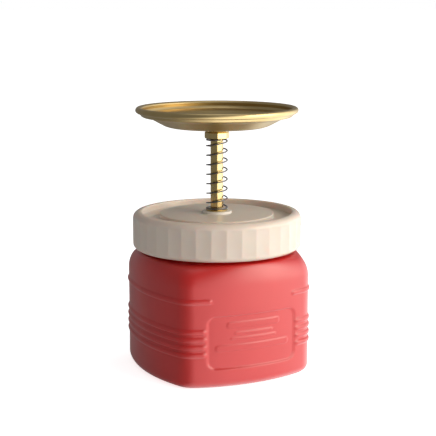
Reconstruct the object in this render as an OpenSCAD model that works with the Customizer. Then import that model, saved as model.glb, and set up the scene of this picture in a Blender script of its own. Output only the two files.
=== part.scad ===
// Plunger can for solvents: a square moulded can with a wide screw cap, a
// hand pump hanging from the cap, and a sprung dispensing pan on the pump stem.
// Press the pan and the pump lifts liquid into it; let go and the spare runs back.
// Millimetres, +Z up. The origin is the centre of the can's base, the panel faces -Y.

/* [Can body] */
// Width of the can across its flat sides
body_w = 118.8; // [96:0.1:150]
// Height of the shoulder's top above the ground
body_h = 86.3; // [72:0.1:120]
// Radius of the can's upright corners
corner_round = 16; // [10:0.5:24]
// Radius of the can's bulged sides
side_bulge = 125; // [100:1:400]
// Wall of the can
wall = 2; // [1.5:0.1:3]
// Rounding where the sides meet the base
base_round = 6; // [4:0.5:9]
// How far the shoulder comes in at the corners
shoulder_in = 14; // [10:0.5:16]
// Height of the shoulder's curve
shoulder_rise = 15.6; // [12:0.1:16.5]

/* [Ribs and panel] */
// Height of one moulded rib
rib_t = 3.4; // [2.4:0.1:3.6]
// How far a rib stands out
rib_out = 0.9; // [0.5:0.1:1.5]
// Distance from one low rib to the next
rib_pitch = 5.4; // [4.5:0.1:5.6]
// Number of low ribs, level with the middle of the panel
rib_rows = 4; // [2:1:4]
// Distance from the shoulder's top down to the upper rib's middle
upper_rib_drop = 24.3; // [22:0.1:26]
// Length of front without an upper rib
upper_rib_gap = 62; // [40:1:80]
// Width of the sunk panel
panel_w = 70; // [50:1:76]
// Height of the panel's lower edge
panel_z = 13.5; // [10:0.5:14]
// Distance from the upper rib's middle down to the panel's upper edge
panel_drop = 10; // [8:0.5:10]
// Depth of the panel
panel_depth = 1; // [0.5:0.1:1.2]

/* [Neck and thread] */
// Distance from the can's flat side in to the neck
neck_inset = 7; // [6.5:0.5:12]
// Wall of the neck
neck_wall = 2.5; // [2:0.1:4]
// Height of the neck above the shoulder
neck_rise = 19.7; // [18.5:0.1:26]
// Thread pitch of neck and cap
thread_pitch = 6; // [5:0.5:7]
// How far a thread ridge stands out
thread_depth = 1.8; // [1.2:0.1:2]
// Turns of thread
thread_turns = 1.25; // [1:0.05:1.3]

/* [Screw cap] */
// Wall of the cap's skirt
cap_wall = 6.2; // [4:0.1:7]
// Height of the skirt below the cap's top web
skirt_h = 19.2; // [16.5:0.1:20]
// Thickness of the top web
web_t = 2.7; // [2:0.1:4]
// Height of the rim above the web
rim_rise = 4.7; // [3.5:0.1:8]
// Width of the rim
rim_w = 6.8; // [6:0.1:8]
// Diameter of the raised centre disc
disc_d = 82; // [50:0.1:84]
// Height of the centre disc above the web
disc_rise = 3.2; // [2:0.1:4]
// Thickness of the centre disc
disc_t = 3.2; // [3:0.1:5]
// Number of grip flutes
flutes = 36; // [24:1:48]
// Depth of a grip flute
flute_depth = 0.5; // [0.3:0.1:0.8]
// Thickness of the cap's gasket
gasket_t = 1.5; // [1:0.1:2]

/* [Pump] */
// Stroke of the plunger
stroke = 30; // [20:1:36]
// Bore of the pump barrel
barrel_d = 18; // [16:0.5:24]
// Wall of the pump barrel
barrel_wall = 3; // [2:0.5:4]
// Diameter of the barrel's flange under the cap
barrel_flange_d = 30; // [28:0.5:44]
// Thickness of that flange
barrel_flange_t = 3; // [2:0.5:5]
// Height of the barrel's head, where spare liquid drains back
barrel_head_h = 9.4; // [8:0.1:14]
// Diameter of the guide bush's shank
bush_d = 13.9; // [13:0.1:15]
// Diameter of the guide bush's flange
bush_flange_d = 15.4; // [15:0.1:22]
// Thickness of the guide bush's flange
bush_flange_t = 1; // [1:0.1:3]
// Diameter of the washer under the bush
bush_washer_d = 21.4; // [16:0.1:26]
// Thickness of that washer
bush_washer_t = 1.5; // [0.5:0.1:2]
// Thickness of the gasket over the barrel
barrel_gasket_t = 1; // [0.5:0.1:2]
// Bore of the dip tube
tube_bore_d = 8; // [6:0.5:8.5]
// Wall of the dip tube
tube_wall = 1; // [0.8:0.1:1.5]
// Gap from the strainer to the can's floor
floor_gap = 2; // [1.5:0.5:5]
// Diameter of the ball in the foot valve
foot_ball_d = 8; // [7:0.5:9]
// Lift of the ball in the foot valve
foot_ball_lift = 1.5; // [1:0.1:2]

/* [Stem and piston] */
// Width of the eight-sided stem across its flats
stem_af = 8.6; // [8:0.1:9]
// Bore of the stem
stem_bore_d = 4; // [2.5:0.1:4.5]
// Length of stem between the guide bush and the nut
stem_show = 51.3; // [49:0.1:80]
// Diameter of the stem's round ends
spigot_d = 8; // [7.6:0.1:8.2]
// Thickness of the piston plate
piston_t = 5.1; // [4:0.1:8]
// Thickness of the piston's cup seal
cup_t = 4; // [3:0.1:6]
// Width of the piston nut across its flats
piston_nut_w = 14; // [12:0.1:15]
// Height of the piston nut on the stem
piston_nut_grip = 5; // [4.5:0.1:8]
// Thickness of the piston nut's floor, where the ball sits
piston_nut_floor = 3; // [2:0.1:4]
// Diameter of the ball in the stem
stem_ball_d = 4.8; // [4:0.1:5]
// Lift of the ball in the stem
stem_ball_lift = 1.5; // [1:0.1:2]

/* [Return spring] */
// Wire of the spring
wire_d = 1; // [0.8:0.1:1.4]
// Outside diameter of the spring
spring_d = 15.8; // [14:0.1:16]
// Pitch of the open coils
coil_pitch = 6.9; // [6:0.1:9]
// Closed turns at each end
closed_turns = 0.75; // [0.5:0.05:1]

/* [Dispensing pan] */
// Diameter of the pan over its rolled bead
pan_d = 116.6; // [110:0.1:150]
// Diameter of the rolled bead
bead_d = 4.4; // [3:0.1:5]
// Height of the pan
pan_h = 15.7; // [13:0.1:24]
// Diameter of the pan's floor
pan_floor_d = 75.6; // [50:0.1:78]
// Rise of the floor from its middle to its edge
pan_floor_rise = 2.4; // [1:0.1:3]
// Diameter of the step below the flange
pan_step_d = 97.6; // [90:0.1:98]
// Height of that step above the pan's lowest point
pan_step_z = 8.3; // [7:0.1:9]
// Thickness of the pan's sheet
sheet_t = 1; // [0.8:0.1:1.2]
// Width of the nut under the pan across its flats
pan_nut_w = 16.4; // [14:0.1:20]
// Thickness of the nut under the pan
pan_nut_t = 4.9; // [3:0.1:8]
// Diameter of the collar under the pan, at its top
collar_d = 20; // [18:0.1:26]
// Thickness of the collar under the pan
collar_t = 2.2; // [1.5:0.1:4]
// Diameter of the perforated screen
screen_d = 74; // [50:0.5:74]
// Thickness of the perforated screen
screen_t = 0.8; // [0.6:0.1:1]
// Diameter of a hole in the screen
screen_hole_d = 3; // [2:0.1:3.5]
// Width of the outlet nut across its flats
outlet_w = 12; // [11:0.1:16]
// Height of the outlet nut
outlet_h = 4.5; // [3:0.1:6]

/* [Fits] */
// Gap all round a sliding or seated round fit
run_gap = 0.05; // [0.02:0.01:0.1]
// Gap each side of the stem in the guide bush
guide_gap = 0.06; // [0.04:0.01:0.1]
// Gap between faces that stop a moving piece
stop_gap = 0.2; // [0.1:0.05:0.5]
// Gap between the crest of one thread and the root of the other
thread_gap = 0.6; // [0.4:0.05:1]
// Gap between a valve ball and its seat
ball_gap = 0.05; // [0.03:0.01:0.1]

/* [Hidden] */
$fn = 64;

// Outline and skin of the can
outline_points = 72;
half_w = body_w / 2;
curve_steps = 5;
side_top_z = body_h - shoulder_rise;
neck_r = half_w - neck_inset;
neck_bore_r = neck_r - neck_wall;
// The shoulder's top, a rounded square just outside the foot of the neck
seat_r = neck_r + 2;
shoulder_r = seat_r + 1;
lip_z = body_h + neck_rise;
// Slope at the edge of a rib or of the panel
edge_slope = 0.8;
upper_rib_z = body_h - upper_rib_drop;
panel_top_z = upper_rib_z - panel_drop;
rib_z = (panel_z + panel_top_z - (rib_rows - 1) * rib_pitch) / 2;

// Thread sizes
thread_steps = 36;
thread_root_w = 3.4;
thread_crest_w = 1;
thread_row = 0.75;
// How far the cap's ridge lies below the neck's ridge
thread_drop = 2.7;
neck_thread_z = lip_z - 11.5;
cap_bore_r = neck_r + thread_depth + thread_gap;
cap_r = cap_bore_r + cap_wall;
cap_web_z = lip_z + gasket_t;
cap_base_z = cap_web_z - skirt_h;
channel_z = cap_web_z + web_t;
cap_top_z = channel_z + rim_rise;
disc_top_z = channel_z + disc_rise;
disc_base_z = disc_top_z - disc_t;
// Grip flutes are cut with cylinders of this radius
flute_r = 20;
flute_margin = 3.6;

// Pump, from the cap down
bush_flange_z = disc_top_z + bush_washer_t;
spring_base_z = bush_flange_z + bush_flange_t;
barrel_top_z = disc_base_z - barrel_gasket_t;
bush_bore_r = bush_d / 2 + run_gap;
barrel_head_top_z = barrel_top_z - barrel_flange_t;
barrel_head_z = barrel_head_top_z - barrel_head_h;
bush_end_z = barrel_head_top_z - 1.4;
drain_z = (bush_end_z + barrel_head_z) / 2 + 0.4;
barrel_r = barrel_d / 2;
barrel_out_r = barrel_r + barrel_wall;
piston_top_z = barrel_head_z - stop_gap;
piston_z = piston_top_z - piston_t;
cup_z = piston_z - cup_t;
spigot_end_z = cup_z - piston_nut_grip;
piston_nut_z = spigot_end_z - piston_nut_floor;
foot_spigot_h = 8;
foot_clearance = 1.7;
foot_gasket_t = 1;
foot_flange_t = 4;
foot_top_z = piston_nut_z - stroke - foot_clearance;
barrel_end_z = foot_top_z - foot_spigot_h;
foot_flange_top_z = barrel_end_z - foot_gasket_t;
foot_flange_z = foot_flange_top_z - foot_flange_t;
foot_nipple_h = 8;
foot_ball_r = foot_ball_d / 2;
foot_seat_r = foot_ball_r * 0.65;
foot_chamber_r = foot_ball_r + 0.6;
foot_seat_z = foot_flange_z + 2;
foot_ball_z = foot_seat_z + sqrt(pow(foot_ball_r, 2) - pow(foot_seat_r, 2)) + ball_gap;
pin_r = 0.6;
foot_pin_z = foot_ball_z + foot_ball_r + foot_ball_lift + 0.1 + pin_r;
tube_bore_r = tube_bore_d / 2;
tube_r = tube_bore_r + tube_wall;
strainer_z = wall + floor_gap;
strainer_wall = 2;
strainer_floor = 1.2;
strainer_h = 10;
tube_end_z = strainer_z + 4;

// Plunger, from the guide bush up
stem_r = stem_af / 2 / cos(22.5);
nut_z = spring_base_z + stem_show;
collar_z = nut_z + pan_nut_t;
pan_z = collar_z + collar_t;
pan_top_z = pan_z + pan_h;
spigot_r = spigot_d / 2;
stem_ball_r = stem_ball_d / 2;
stem_seat_r = stem_ball_r * 0.65;
stem_chamber_r = stem_ball_r + 0.35;
stem_ball_z = spigot_end_z + sqrt(pow(stem_ball_r, 2) - pow(stem_seat_r, 2)) + ball_gap;
stem_pin_z = stem_ball_z + stem_ball_r + stem_ball_lift + 0.1 + pin_r;
stem_chamber_top_z = stem_pin_z + 1.2;

// Pan section: a sloping floor, a cone, a step and a rolled bead
wall_run = (pan_step_d - pan_floor_d) / 2;
wall_climb = pan_step_z - pan_floor_rise;
wall_slope = atan(wall_climb / wall_run);
bead_r = bead_d / 2;
bead_x = pan_d / 2 - bead_r;
bead_z = pan_top_z - bead_r;
pan_middle_r = collar_d / 2 + 2;
screen_z = pan_z + pan_floor_rise + sheet_t + 0.6;
outlet_z = screen_z + screen_t;
stem_top_z = outlet_z + outlet_h - 1;

// Spring
wire_r = wire_d / 2;
coil_r = spring_d / 2 - wire_r;
spring_room = stem_show - wire_d;
open_turns = (spring_room - 2 * closed_turns * wire_d) / coil_pitch;
all_turns = open_turns + 2 * closed_turns;
coil_steps = 16;
// Where the wire's lower end lies, turned from +X
coil_start = 69;

// Points of an arc in a section: centre, radius, first and last angle
function arc(x, z, r, from, to, steps = 4) =
    [for (i = [0 : steps]) let (a = from + (to - from) * i / steps) [x + r * cos(a), z + r * sin(a)]];

// Solid through a list of rings that all have the same number of points
module loft(rings) {
    n = len(rings[0]);
    last = len(rings) - 1;
    sides = [for (k = [0 : last - 1], i = [0 : n - 1])
        let (a = k * n + i, b = k * n + (i + 1) % n) each [[a, b, a + n], [b, b + n, a + n]]];
    first_cap = [for (i = [1 : n - 2]) [0, i + 1, i]];
    last_cap = [for (i = [1 : n - 2]) [last * n, last * n + i, last * n + i + 1]];
    polyhedron(points = [for (ring = rings) each ring], faces = concat(sides, first_cap, last_cap));
}

// Reach of the can's outline at an angle: a bulged side up to the corner, then the corner's arc
bulge_x = half_w - side_bulge;
corner_x = (bulge_x + sqrt(2 * pow(side_bulge - corner_round, 2) - pow(bulge_x, 2))) / 2;
side_half = atan2(corner_x, corner_x - bulge_x);
side_end = atan2(side_bulge * sin(side_half), bulge_x + side_bulge * cos(side_half));
function outline(angle) =
    let (turn = abs(angle - 90 * round(angle / 90)), off = 45 - turn)
    turn < side_end
        ? bulge_x * cos(turn) + sqrt(pow(side_bulge, 2) - pow(bulge_x * sin(turn), 2))
        : corner_x * sqrt(2) * cos(off) + sqrt(pow(corner_round, 2) - 2 * pow(corner_x * sin(off), 2));

// The same outline with another half width
function reach(half, angle) = outline(angle) * half / half_w;
corner_reach = outline(45);

// The shoulder's top at an angle: round over the sides, further out at the corners
function shoulder_reach(angle) =
    shoulder_r + (outline(angle) - half_w) * (corner_reach - shoulder_in - shoulder_r) / (corner_reach - half_w);

// How much of a band from low to high is there at a height: 0 outside, 1 inside its slopes
function band(z, low, high) = max(0, min(1, (z - low) / edge_slope, (high - z) / edge_slope));

// How far the skin stands out of the plain side at a sideways place and a height
function skin(x, z) =
    abs(x) < panel_w / 2 && z < upper_rib_z - rib_t
        ? -panel_depth * band(z, panel_z, panel_top_z)
        : rib_out * max(abs(x) < upper_rib_gap / 2 ? 0 : band(z, upper_rib_z - rib_t / 2, upper_rib_z + rib_t / 2),
                        max([for (i = [0 : rib_rows - 1]) let (middle = rib_z + i * rib_pitch)
                            band(z, middle - rib_t / 2, middle + rib_t / 2)]));

// One level ring of the can's outline, and one round ring with as many points
function can_ring(half, z) =
    [for (i = [0 : outline_points - 1]) let (a = 360 * i / outline_points)
        [reach(half, a) * cos(a), reach(half, a) * sin(a), z]];
function round_ring(r, z) =
    [for (i = [0 : outline_points - 1]) let (a = 360 * i / outline_points) [r * cos(a), r * sin(a), z]];

// One level ring of the side's skin, with its ribs and panels
function skin_ring(z) =
    [for (i = [0 : outline_points - 1])
        let (a = 360 * i / outline_points, out = skin(reach(half_w, a) * cos(a), z), r = reach(half_w + out, a))
        [r * cos(a), r * sin(a), z]];

// Heights where a band's slopes start and end
function band_heights(low, high) = [low, low + edge_slope, high - edge_slope, high];

// Rings of the can's shape, set in by a wall, from base to shoulder
function base_rings(inset) = let (round = base_round - inset)
    [for (i = [0 : curve_steps]) let (a = 90 * i / curve_steps)
        can_ring(half_w - inset - round * (1 - sin(a)), inset + round * (1 - cos(a)))];
function shoulder_rings(inset) =
    [for (i = [0 : curve_steps]) let (a = 90 * i / curve_steps)
        [for (k = [0 : outline_points - 1])
            let (b = 360 * k / outline_points,
                 r = reach(half_w - inset, b) * cos(a) + (shoulder_reach(b) - inset) * (1 - cos(a)))
            [r * cos(b), r * sin(b), side_top_z + (shoulder_rise - inset) * sin(a)]]];

// How far the neck's thread stands out at an angle and a height: 0 at the root, 1 on the crest
function on_thread(angle, z) =
    max([for (turn = [0 : 1]) let (along = turn + angle / 360, off = abs(z - neck_thread_z - along * thread_pitch))
        along > thread_turns ? 0 : max(0, min(1, (thread_root_w / 2 - off) / (thread_root_w - thread_crest_w) * 2))]);

// One level ring of the neck with its thread
function neck_ring(z) =
    [for (i = [0 : outline_points - 1])
        let (a = 360 * i / outline_points, r = neck_r + thread_depth * on_thread(a, z))
        [r * cos(a), r * sin(a), z]];

// Helical ridge that stands inwards from a root radius to a crest radius, right-handed
module thread_ridge(root_r, crest_r, z) {
    rings = [for (i = [0 : thread_steps * thread_turns])
        let (a = 360 * i / thread_steps, h = z + thread_pitch * i / thread_steps)
        [for (p = [[root_r, -thread_root_w / 2], [crest_r, -thread_crest_w / 2],
                   [crest_r, thread_crest_w / 2], [root_r, thread_root_w / 2]])
            [p[0] * cos(a), p[0] * sin(a), h + p[1]]]];
    loft([for (ring = rings) [ring[3], ring[2], ring[1], ring[0]]]);
}

// The can is one skin: up the outside, over the lip and down the inside
module can_body() {
    low_ribs = [for (i = [0 : rib_rows - 1])
        each band_heights(rib_z + i * rib_pitch - rib_t / 2, rib_z + i * rib_pitch + rib_t / 2)];
    heights = concat([panel_z, panel_z + edge_slope], low_ribs, [panel_top_z - edge_slope, panel_top_z],
                     band_heights(upper_rib_z - rib_t / 2, upper_rib_z + rib_t / 2));
    thread_low = neck_thread_z - thread_root_w / 2;
    thread_rows = ceil((thread_turns * thread_pitch + thread_root_w) / thread_row);
    neck_outside = [round_ring(seat_r, body_h + 0.3), round_ring(neck_r, body_h + 1.5),
                    for (row = [0 : thread_rows]) neck_ring(thread_low + row * thread_row),
                    round_ring(neck_r, lip_z)];
    neck_inside = [round_ring(neck_bore_r, lip_z), round_ring(neck_bore_r, body_h - wall + 1)];
    inner_shoulder = shoulder_rings(wall);
    inner_base = base_rings(wall);
    color("firebrick") loft(concat(
        base_rings(0),
        [for (z = heights) skin_ring(z)],
        shoulder_rings(0),
        neck_outside,
        neck_inside,
        [for (i = [curve_steps : -1 : 0]) inner_shoulder[i]],
        [for (i = [curve_steps : -1 : 0]) inner_base[i]]));
}

module screw_cap() {
    edge = 5;
    base_edge = 4;
    small = 0.8;
    rim_in = cap_r - rim_w;
    disc_r = disc_d / 2;
    color("antiquewhite") difference() {
        union() {
            difference() {
                rotate_extrude() polygon(concat(
                    [[bush_bore_r, disc_base_z], [disc_r - 2.5, disc_base_z], [disc_r - 2.5, cap_web_z],
                     [cap_bore_r, cap_web_z], [cap_bore_r, cap_base_z]],
                    arc(cap_r - base_edge, cap_base_z + base_edge, base_edge, -90, 0),
                    arc(cap_r - edge, cap_top_z - edge, edge, 0, 90),
                    arc(rim_in + small, cap_top_z - small, small, 90, 180),
                    [[rim_in, channel_z], [disc_r, channel_z]],
                    arc(disc_r - small, disc_top_z - small, small, 0, 90),
                    [[bush_bore_r, disc_top_z]]));
                for (i = [0 : flutes - 1]) rotate([0, 0, 360 * i / flutes])
                    translate([cap_r + flute_r - flute_depth, 0, cap_base_z + flute_margin])
                        cylinder(h = cap_top_z - cap_base_z - 2 * flute_margin, r = flute_r);
            }
            thread_ridge(cap_bore_r + 0.5, cap_bore_r - thread_depth, neck_thread_z - thread_drop);
        }
    }
}

// A washer: outside radius, bore radius, lower face and thickness
module washer(outer_r, bore_r, z, t) {
    translate([0, 0, z]) difference() {
        cylinder(h = t, r = outer_r);
        translate([0, 0, -1]) cylinder(h = t + 2, r = bore_r);
    }
}

// An eight-sided bar on the axis: width across flats, lower face and length
module octagon(w, z, h) {
    translate([0, 0, z]) rotate([0, 0, 22.5]) cylinder(h = h, r = w / 2 / cos(22.5), $fn = 8);
}

module cap_gasket() {
    color("black") washer(cap_bore_r - 0.5, neck_r - neck_wall - 0.5, lip_z, gasket_t);
}

module bush_washer() {
    color("white") washer(bush_washer_d / 2, bush_bore_r, disc_top_z, bush_washer_t);
}

module guide_bush() {
    color("gold") difference() {
        union() {
            translate([0, 0, bush_flange_z]) cylinder(h = bush_flange_t, r = bush_flange_d / 2);
            translate([0, 0, bush_end_z]) cylinder(h = bush_flange_z - bush_end_z, r = bush_d / 2);
        }
        octagon(stem_af + 2 * guide_gap, bush_end_z - 1, bush_flange_z - bush_end_z + bush_flange_t + 2);
    }
}

module barrel_gasket() {
    color("dimgray") washer(barrel_flange_d / 2, bush_bore_r, barrel_top_z, barrel_gasket_t);
}

module pump_barrel() {
    drain_r = 1.5;
    color("saddlebrown") difference() {
        union() {
            translate([0, 0, barrel_head_top_z]) cylinder(h = barrel_flange_t, r = barrel_flange_d / 2);
            translate([0, 0, barrel_end_z]) cylinder(h = barrel_head_top_z - barrel_end_z, r = barrel_out_r);
        }
        translate([0, 0, barrel_end_z - 1]) cylinder(h = barrel_head_z - barrel_end_z + 1, r = barrel_r);
        translate([0, 0, barrel_head_z - 1]) cylinder(h = barrel_top_z - barrel_head_z + 2, r = bush_bore_r);
        for (turn = [0, 90]) rotate([0, 0, turn]) translate([0, 0, drain_z]) rotate([90, 0, 0])
            cylinder(h = 2 * barrel_out_r + 2, r = drain_r, center = true);
    }
}

module foot_gasket() {
    color("dimgray") washer(barrel_out_r, barrel_r, foot_flange_top_z, foot_gasket_t);
}

module foot_valve_body() {
    color("tan") difference() {
        union() {
            translate([0, 0, foot_flange_top_z]) cylinder(h = foot_top_z - foot_flange_top_z, r = barrel_r - 2 * run_gap);
            translate([0, 0, foot_flange_z]) cylinder(h = foot_flange_t, r = barrel_out_r);
            translate([0, 0, foot_flange_z - foot_nipple_h]) cylinder(h = foot_nipple_h, r = tube_bore_r - run_gap);
        }
        translate([0, 0, foot_seat_z]) cylinder(h = foot_top_z - foot_seat_z + 1, r = foot_chamber_r);
        translate([0, 0, foot_flange_z - foot_nipple_h - 1]) cylinder(h = foot_nipple_h + 4, r = foot_seat_r);
        translate([0, 0, foot_pin_z]) rotate([0, 90, 0]) cylinder(h = barrel_d, r = pin_r + run_gap, center = true);
    }
}

module foot_valve_ball() {
    color("silver") translate([0, 0, foot_ball_z]) sphere(foot_ball_r);
}

module foot_valve_pin() {
    color("silver") translate([0, 0, foot_pin_z]) rotate([0, 90, 0])
        cylinder(h = barrel_d - 1.6, r = pin_r, center = true);
}

module dip_tube() {
    color("ivory") washer(tube_r, tube_bore_r, tube_end_z, foot_flange_z - tube_end_z);
}

module suction_strainer() {
    slots = 6;
    slot_w = 2;
    slot_h = 2.2;
    strainer_r = tube_r + strainer_wall;
    color("silver") difference() {
        translate([0, 0, strainer_z]) cylinder(h = strainer_h, r = strainer_r);
        translate([0, 0, tube_end_z]) cylinder(h = strainer_h, r = tube_r + run_gap);
        translate([0, 0, strainer_z + strainer_floor]) cylinder(h = strainer_h, r = tube_bore_r);
        for (i = [0 : slots / 2 - 1]) rotate([0, 0, 180 * i / (slots / 2)])
            translate([0, 0, strainer_z + strainer_floor + slot_h / 2])
                cube([2 * strainer_r + 2, slot_w, slot_h], center = true);
    }
}

// Height of the wire's centre after some turns: closed, open, closed
function coil_z(turn) =
    spring_base_z + wire_r
    + min(turn, closed_turns) * wire_d
    + max(0, min(turn, closed_turns + open_turns) - closed_turns) * coil_pitch
    + max(0, turn - closed_turns - open_turns) * wire_d;

module return_spring() {
    steps = floor(all_turns * coil_steps);
    wire_sides = 6;
    color("dimgray") loft([for (i = [0 : steps])
        let (turn = all_turns * i / steps, a = coil_start + 360 * turn)
        [for (k = [0 : wire_sides - 1]) let (b = -360 * k / wire_sides, r = coil_r + wire_r * cos(b))
            [r * cos(a), r * sin(a), coil_z(turn) - wire_r * sin(b)]]]);
}

module pump_stem() {
    drain_r = 0.8;
    color("darkgoldenrod") difference() {
        union() {
            octagon(stem_af, piston_top_z, nut_z - piston_top_z);
            translate([0, 0, spigot_end_z]) cylinder(h = piston_top_z - spigot_end_z, r = spigot_r);
            translate([0, 0, nut_z]) cylinder(h = stem_top_z - nut_z, r = spigot_r);
        }
        translate([0, 0, spigot_end_z - 1]) cylinder(h = stem_top_z - spigot_end_z + 2, r = stem_bore_d / 2);
        translate([0, 0, spigot_end_z - 1]) cylinder(h = stem_chamber_top_z - spigot_end_z + 1, r = stem_chamber_r);
        translate([0, 0, drain_z]) rotate([90, 0, 0]) cylinder(h = stem_af + 2, r = drain_r, center = true);
        translate([0, 0, stem_pin_z]) rotate([90, 0, 0])
            cylinder(h = spigot_d + 2, r = pin_r + run_gap, center = true);
    }
}

module piston_plate() {
    color("gold") washer(barrel_r - 0.3, spigot_r + run_gap, piston_z, piston_t);
}

module piston_cup() {
    color("sienna") washer(barrel_r - run_gap, spigot_r + run_gap, cup_z, cup_t);
}

module piston_nut() {
    color("gold") difference() {
        octagon(piston_nut_w, piston_nut_z, cup_z - piston_nut_z);
        translate([0, 0, spigot_end_z]) cylinder(h = piston_nut_grip + 1, r = spigot_r + run_gap);
        translate([0, 0, piston_nut_z - 1]) cylinder(h = piston_nut_floor + 2, r = stem_seat_r);
    }
}

module stem_ball() {
    color("silver") translate([0, 0, stem_ball_z]) sphere(stem_ball_r);
}

module stem_ball_pin() {
    color("silver") translate([0, 0, stem_pin_z]) rotate([90, 0, 0])
        cylinder(h = spigot_d - 0.4, r = pin_r, center = true);
}

module pan_nut() {
    color("goldenrod") difference() {
        octagon(pan_nut_w, nut_z, pan_nut_t);
        translate([0, 0, nut_z - 1]) cylinder(h = pan_nut_t + 2, r = spigot_r + run_gap);
    }
}

module pan_collar() {
    color("goldenrod") translate([0, 0, collar_z]) difference() {
        cylinder(h = collar_t, r1 = pan_nut_w / 2, r2 = collar_d / 2);
        translate([0, 0, -1]) cylinder(h = collar_t + 2, r = spigot_r + run_gap);
    }
}

module dispensing_pan() {
    bore_r = spigot_r + run_gap;
    floor_r = pan_floor_d / 2;
    step_r = pan_step_d / 2;
    flange_r = bead_x - bead_r;
    bead_low_z = bead_z - bead_r;
    // The sheet's inner side, square to the cone
    lift = sheet_t / cos(wall_slope);
    color("goldenrod") union() {
        rotate_extrude() polygon([
            [bore_r, pan_z], [pan_middle_r, pan_z], [floor_r, pan_z + pan_floor_rise],
            [step_r, pan_z + pan_step_z], [flange_r, pan_z + pan_step_z + 0.6],
            [bead_x, bead_low_z], [bead_x, bead_z],
            [flange_r - 0.4, pan_z + pan_step_z + 0.6 + sheet_t], [step_r - 0.6, pan_z + pan_step_z + sheet_t],
            [floor_r, pan_z + pan_floor_rise + lift], [pan_middle_r, pan_z + sheet_t], [bore_r, pan_z + sheet_t]]);
        translate([0, 0, bead_z]) rotate_extrude() translate([bead_x, 0]) circle(bead_r);
    }
}

module screen_spacer() {
    port_w = 2;
    spacer_r = outlet_w / 2;
    floor_z = pan_z + sheet_t;
    color("gold") difference() {
        washer(spacer_r, spigot_r + run_gap, floor_z, screen_z - floor_z);
        for (turn = [0, 90]) rotate([0, 0, turn])
            translate([0, 0, screen_z]) cube([2 * spacer_r + 2, port_w, port_w], center = true);
    }
}

module perforated_screen() {
    rows = 6;
    first_r = outlet_w / 2 + screen_hole_d;
    row_step = (screen_d / 2 - screen_hole_d - first_r) / (rows - 1);
    color("darkkhaki") translate([0, 0, screen_z]) linear_extrude(screen_t) difference() {
        circle(screen_d / 2);
        circle(spigot_r + run_gap);
        for (row = [0 : rows - 1]) let (r = first_r + row * row_step, n = 8 + 6 * row)
            for (i = [0 : n - 1]) rotate(360 * i / n) translate([r, 0]) circle(screen_hole_d / 2, $fn = 16);
    }
}

module outlet_nut() {
    color("gold") difference() {
        octagon(outlet_w, outlet_z, outlet_h);
        translate([0, 0, outlet_z - 1]) cylinder(h = outlet_h, r = spigot_r + run_gap);
        translate([0, 0, outlet_z]) cylinder(h = outlet_h + 1, r = stem_bore_d / 2);
    }
}

can_body();
screw_cap();
cap_gasket();
bush_washer();
guide_bush();
barrel_gasket();
pump_barrel();
foot_gasket();
foot_valve_body();
foot_valve_ball();
foot_valve_pin();
dip_tube();
suction_strainer();
return_spring();
pump_stem();
piston_plate();
piston_cup();
piston_nut();
stem_ball();
stem_ball_pin();
pan_nut();
pan_collar();
dispensing_pan();
screen_spacer();
perforated_screen();
outlet_nut();
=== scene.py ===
# %% [markdown]
# # A plunger can for solvents
# A square red can with a wide screw cap. A hand pump hangs from the cap, and its brass stem
# carries a spring and a shallow brass pan. Pressing the pan pumps a little solvent into it.
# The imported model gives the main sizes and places, and the smaller sizes here repeat the
# design's own. This script makes what the eye sees round it.

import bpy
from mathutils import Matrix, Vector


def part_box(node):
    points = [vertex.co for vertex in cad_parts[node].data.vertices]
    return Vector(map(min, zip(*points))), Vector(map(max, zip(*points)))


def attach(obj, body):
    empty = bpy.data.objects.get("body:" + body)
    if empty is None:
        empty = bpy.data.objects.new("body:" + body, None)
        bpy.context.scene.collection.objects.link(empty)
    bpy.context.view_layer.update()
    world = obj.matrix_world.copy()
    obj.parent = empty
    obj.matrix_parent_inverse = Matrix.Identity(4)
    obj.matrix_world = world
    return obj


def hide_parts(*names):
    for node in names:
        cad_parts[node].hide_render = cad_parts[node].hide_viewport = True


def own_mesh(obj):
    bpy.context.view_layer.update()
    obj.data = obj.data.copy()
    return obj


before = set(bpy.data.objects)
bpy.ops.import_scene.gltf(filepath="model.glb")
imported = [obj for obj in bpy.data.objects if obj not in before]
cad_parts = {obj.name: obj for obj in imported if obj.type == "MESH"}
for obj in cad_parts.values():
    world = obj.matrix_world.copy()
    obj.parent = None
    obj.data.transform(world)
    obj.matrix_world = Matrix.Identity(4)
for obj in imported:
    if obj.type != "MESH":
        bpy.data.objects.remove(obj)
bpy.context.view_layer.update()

# %% [markdown]
# ## Tools used throughout
# Colours are picked as sRGB hex values, the way a paint chart gives them, but shaders work in
# linear light, so one function converts them. Lengths are easier to read in millimetres.

# %% Colours and nodes
import math

import bpy
from mathutils import Vector

MM = 0.001
TURN = 2 * math.pi


def srgb(code):
    """Linear colour with alpha from a hex code."""
    parts = [int(code[i:i + 2], 16) / 255 for i in (1, 3, 5)]
    linear = [c / 12.92 if c <= 0.04045 else ((c + 0.055) / 1.055) ** 2.4 for c in parts]
    return (*linear, 1.0)


def smooth(x):
    """Soft step from 0 to 1."""
    x = max(0.0, min(1.0, x))
    return x * x * (3 - 2 * x)


def add(tree, kind, inputs=None, **settings):
    """Add a node, set its properties, and fill or link its inputs."""
    node = tree.nodes.new(kind)
    for key, value in settings.items():
        setattr(node, key, value)
    for key, value in (inputs or {}).items():
        if isinstance(value, bpy.types.NodeSocket):
            tree.links.new(value, node.inputs[key])
        else:
            node.inputs[key].default_value = value
    return node


print("tools ready, lengths in metres, 1 mm =", MM)

# %% [markdown]
# ## Meshes from rings
# Nearly every piece here is round or follows one outline, so it is made as a stack of rings
# of points, joined by quads. A round piece needs only its section, spun about the axis.

# %% Meshes
CRISP_ANGLE = 40


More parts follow.
